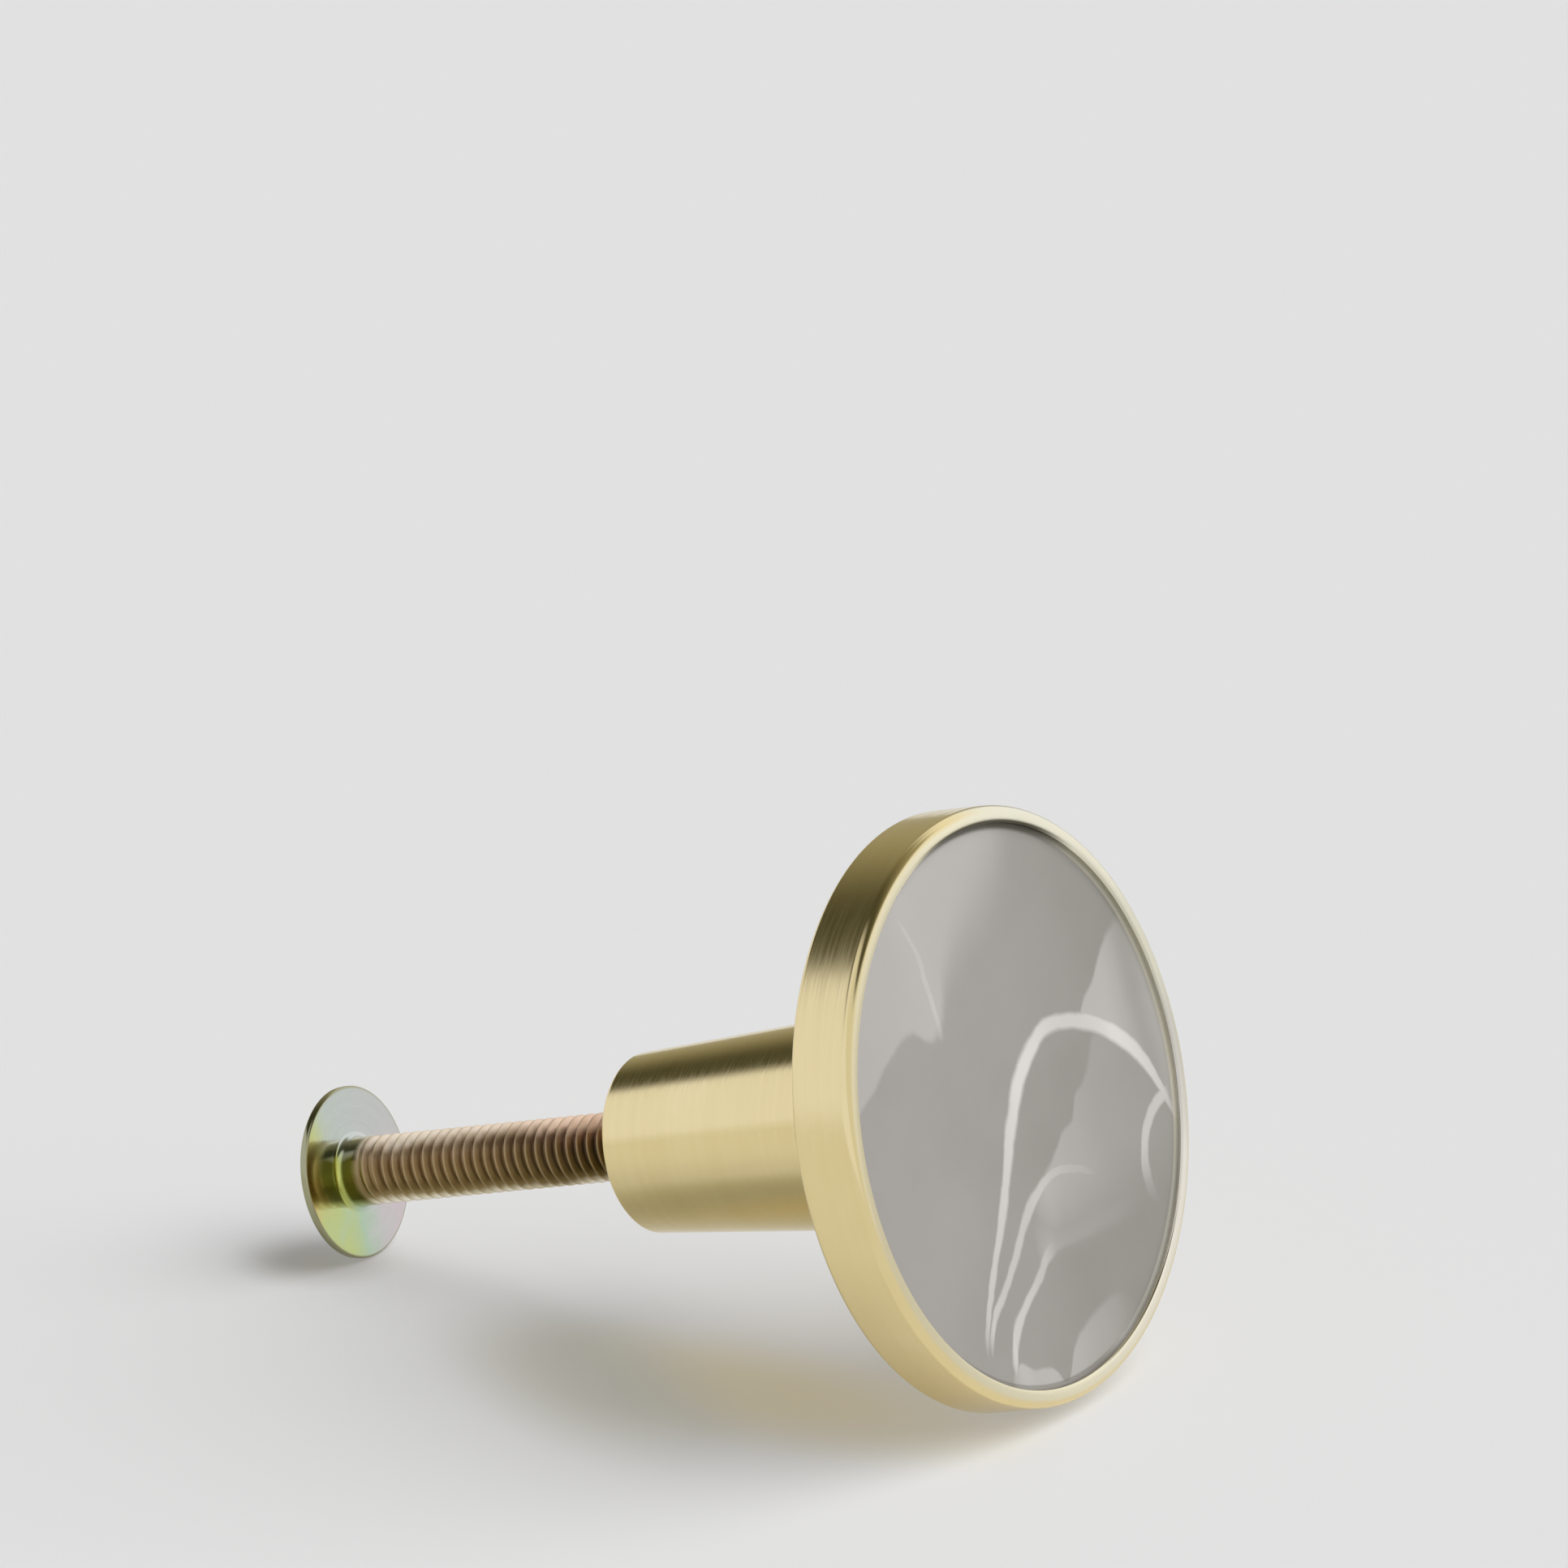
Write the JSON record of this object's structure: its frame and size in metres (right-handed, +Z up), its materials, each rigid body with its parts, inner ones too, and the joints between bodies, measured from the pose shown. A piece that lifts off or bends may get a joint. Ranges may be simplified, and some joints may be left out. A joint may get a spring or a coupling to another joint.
{
  "type": "cabinet knob",
  "caption": "Round cabinet knob: a turned brass cup on a tapered stem holds a marbled grey resin disc, with the screw that fixes it through a door.",
  "frame": {"origin": "centre of the stem's seat, the ring face that meets the door", "axes": "+Y along the knob's axis, into the door and along the screw; the resin face looks along -Y; +Z up"},
  "size_m": [0.033, 0.047, 0.033],
  "materials": {
    "brushed_brass": "turned and finely brushed round the axis, lacquered",
    "marbled_resin": "cast resin, warm grey with pale swirled veins, satin",
    "yellow_zinc": "zinc plated steel with a yellow iridescent passivation"
  },
  "bodies": {
    "root": {"knob_body": "brushed_brass", "resin_inlay": "marbled_resin", "mounting_screw": "yellow_zinc"}
  },
  "joints": []
}
